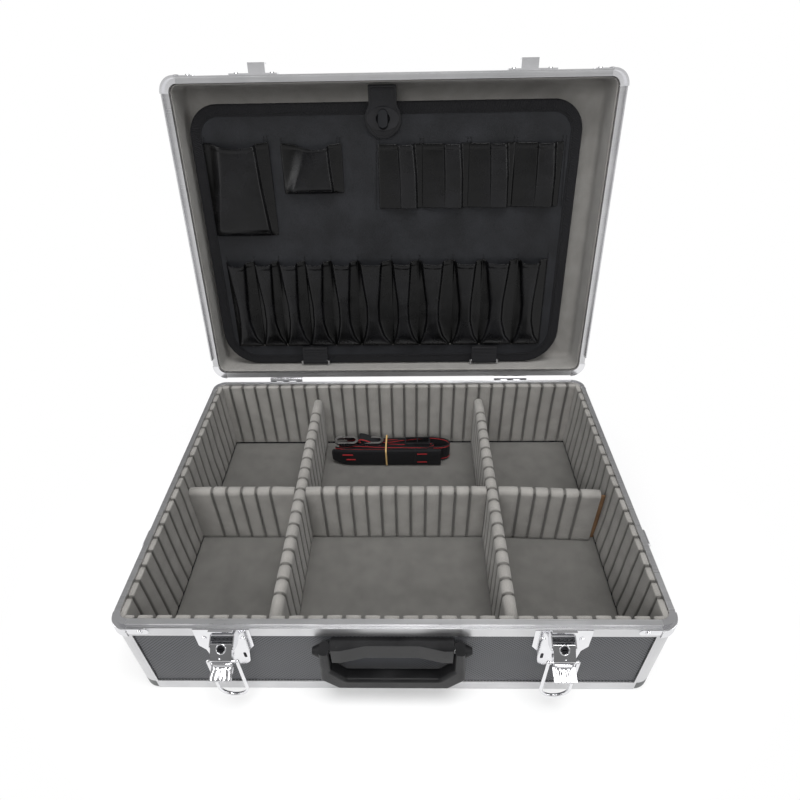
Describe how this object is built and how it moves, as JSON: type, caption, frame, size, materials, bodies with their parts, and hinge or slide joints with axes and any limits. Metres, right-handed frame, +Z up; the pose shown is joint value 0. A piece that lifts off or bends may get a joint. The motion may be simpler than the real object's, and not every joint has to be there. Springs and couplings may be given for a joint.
{
  "type": "aluminum attache case",
  "caption": "Aluminum-framed attache case with padded base, lift-out dividers, hinged lid with tilting tool pallet, toggle latches, folding handle, carrying rings and a folded shoulder strap.",
  "frame": {"origin": "centre of the underside of the base", "axes": "+X to the user's right, +Y to the back where the lid is hinged, +Z up; the latches and handle are on the -Y side"},
  "size_m": [0.4722, 0.4664, 0.4411],
  "materials": {
    "aluminium": "satin anodised profile with fine lengthwise bands",
    "chrome": "bright plated pressed steel",
    "panel": "dark grey embossed covering on board",
    "corner_plastic": "grey moulded plastic",
    "foam": "beige-grey knitted cloth over foam",
    "lid_cloth": "thin grey-beige cloth lining",
    "handle_plastic": "textured black",
    "bracket_plastic": "smooth black",
    "steel": "plain",
    "leatherette": "black leatherette",
    "webbing": "black ribbed webbing",
    "black_plastic": "smooth black",
    "hook_metal": "bright plated wire",
    "band": "tan elastic"
  },
  "bodies": {
    "base": {"base_bottom_panel": "panel", "base_long_panels": "panel", "base_side_panels": "panel", "base_edge_frame": "aluminium", "base_corner_feet": "corner_plastic", "base_corner_posts": "aluminium", "base_rim": "aluminium", "base_rim_caps": "chrome", "base_wall_liner": "foam", "base_floor_pad": "foam", "base_rivets": "chrome", "hinge_base_leaves": "chrome", "hinge_pins": "chrome", "handle_bracket": "bracket_plastic", "handle_pins": "steel", "latch_plates": "chrome", "latch_pins": "chrome", "ring_anchors": "chrome"},
    "lid": {"lid_panel": "panel", "lid_long_panels": "panel", "lid_side_panels": "panel", "lid_edge_frame": "aluminium", "lid_corner_feet": "corner_plastic", "lid_corner_posts": "aluminium", "lid_rim": "aluminium", "lid_rim_caps": "chrome", "lid_liner_walls": "lid_cloth", "latch_hooks": "chrome", "lid_rivets": "chrome", "hinge_lid_leaves": "chrome", "pallet_rods": "steel"},
    "grip": {"handle_grip": "handle_plastic"},
    "lever_left": {"latch_lever_left": "chrome"},
    "lever_right": {"latch_lever_right": "chrome"},
    "lock_left": {"latch_lock_left": "chrome"},
    "lock_right": {"latch_lock_right": "chrome"},
    "bail_left": {"latch_bail_left": "chrome"},
    "bail_right": {"latch_bail_right": "chrome"},
    "ring_left": {"carry_ring_left": "chrome"},
    "ring_right": {"carry_ring_right": "chrome"},
    "pallet": {"pallet_board": "leatherette", "pallet_binding": "webbing", "pallet_pockets_lower": "leatherette", "pallet_pockets_upper": "leatherette", "pallet_pouches": "leatherette", "pallet_tabs": "webbing", "knob_plate": "black_plastic"},
    "knob": {"turn_knob": "black_plastic"},
    "strap": {"retaining_strap": "leatherette", "strap_eyelet": "black_plastic"},
    "long_divider_left": {"divider_long_left": "foam"},
    "long_divider_right": {"divider_long_right": "foam"},
    "cross_divider_left": {"divider_cross_left": "foam"},
    "cross_divider_middle": {"divider_cross_middle": "foam"},
    "cross_divider_right": {"divider_cross_right": "foam"},
    "shoulder_bundle": {"shoulder_strap": "webbing", "shoulder_pad": "webbing", "snap_hooks": "hook_metal", "strap_slider": "black_plastic", "strap_band": "band"}
  },
  "joints": [
    {"name": "lid_hinge", "type": "hinge", "parent": "base", "child": "lid", "pos_m": [0, 0.168, 0.10525], "axis": [-1, 0, 0], "range_deg": [-100, 0]},
    {"name": "handle_swing", "type": "hinge", "parent": "base", "child": "grip", "pos_m": [0, -0.1715, 0.079], "axis": [-1, 0, 0], "range_deg": [0, 90]},
    {"name": "latch_lever_left_swing", "type": "hinge", "parent": "base", "child": "lever_left", "pos_m": [-0.1375, -0.1715, 0.0865], "axis": [1, 0, 0], "range_deg": [0, 47]},
    {"name": "latch_bail_left_swing", "type": "hinge", "parent": "lever_left", "child": "bail_left", "pos_m": [-0.1375, -0.17928, 0.07651], "axis": [-1, 0, 0], "range_deg": [0, 225]},
    {"name": "latch_lock_left_turn", "type": "hinge", "parent": "lever_left", "child": "lock_left", "pos_m": [-0.1375, -0.1752, 0.08783], "axis": [0, -0.682, 0.7314], "range_deg": [0, 90]},
    {"name": "carry_ring_left_swing", "type": "hinge", "parent": "base", "child": "ring_left", "pos_m": [-0.2332, -0.07, 0.093], "axis": [0, 1, 0], "range_deg": [0, 170]},
    {"name": "latch_lever_right_swing", "type": "hinge", "parent": "base", "child": "lever_right", "pos_m": [0.1375, -0.1715, 0.0865], "axis": [1, 0, 0], "range_deg": [0, 47]},
    {"name": "latch_bail_right_swing", "type": "hinge", "parent": "lever_right", "child": "bail_right", "pos_m": [0.1375, -0.17928, 0.07651], "axis": [-1, 0, 0], "range_deg": [0, 225]},
    {"name": "latch_lock_right_turn", "type": "hinge", "parent": "lever_right", "child": "lock_right", "pos_m": [0.1375, -0.1752, 0.08783], "axis": [0, -0.682, 0.7314], "range_deg": [0, 90]},
    {"name": "carry_ring_right_swing", "type": "hinge", "parent": "base", "child": "ring_right", "pos_m": [0.2332, -0.07, 0.093], "axis": [0, -1, 0], "range_deg": [0, 170]},
    {"name": "pallet_tilt", "type": "hinge", "parent": "lid", "child": "pallet", "pos_m": [0, 0.18934, 0.11773], "axis": [1, 0, 0], "range_deg": [0, 5.6]},
    {"name": "knob_turn", "type": "hinge", "parent": "pallet", "child": "knob", "pos_m": [-0.011, 0.23471, 0.38999], "axis": [0, -0.9848, 0.1736], "range_deg": [-90, 0]},
    {"name": "strap_lift", "type": "hinge", "parent": "lid", "child": "strap", "pos_m": [-0.011, 0.24014, 0.42082], "axis": [-1, 0, 0], "range_deg": [0, 90]},
    {"name": "long_divider_left_lift", "type": "slide", "parent": "base", "child": "long_divider_left", "axis": [0, 0, 1], "range_m": [0, 0.095]},
    {"name": "long_divider_right_lift", "type": "slide", "parent": "base", "child": "long_divider_right", "axis": [0, 0, 1], "range_m": [0, 0.095]},
    {"name": "cross_divider_left_lift", "type": "slide", "parent": "base", "child": "cross_divider_left", "axis": [0, 0, 1], "range_m": [0, 0.095]},
    {"name": "cross_divider_middle_lift", "type": "slide", "parent": "base", "child": "cross_divider_middle", "axis": [0, 0, 1], "range_m": [0, 0.095]},
    {"name": "cross_divider_right_lift", "type": "slide", "parent": "base", "child": "cross_divider_right", "axis": [0, 0, 1], "range_m": [0, 0.095]},
    {"name": "shoulder_bundle_lift", "type": "slide", "parent": "base", "child": "shoulder_bundle", "axis": [0, 0, 1], "range_m": [0, 0.095]}
  ],
  "couplings": [
    {"joint": "strap_lift", "follows": "pallet_tilt", "ratio": 16},
    {"joint": "latch_bail_left_swing", "follows": "latch_lever_left_swing", "ratio": 4.787},
    {"joint": "latch_bail_right_swing", "follows": "latch_lever_right_swing", "ratio": 4.787}
  ]
}
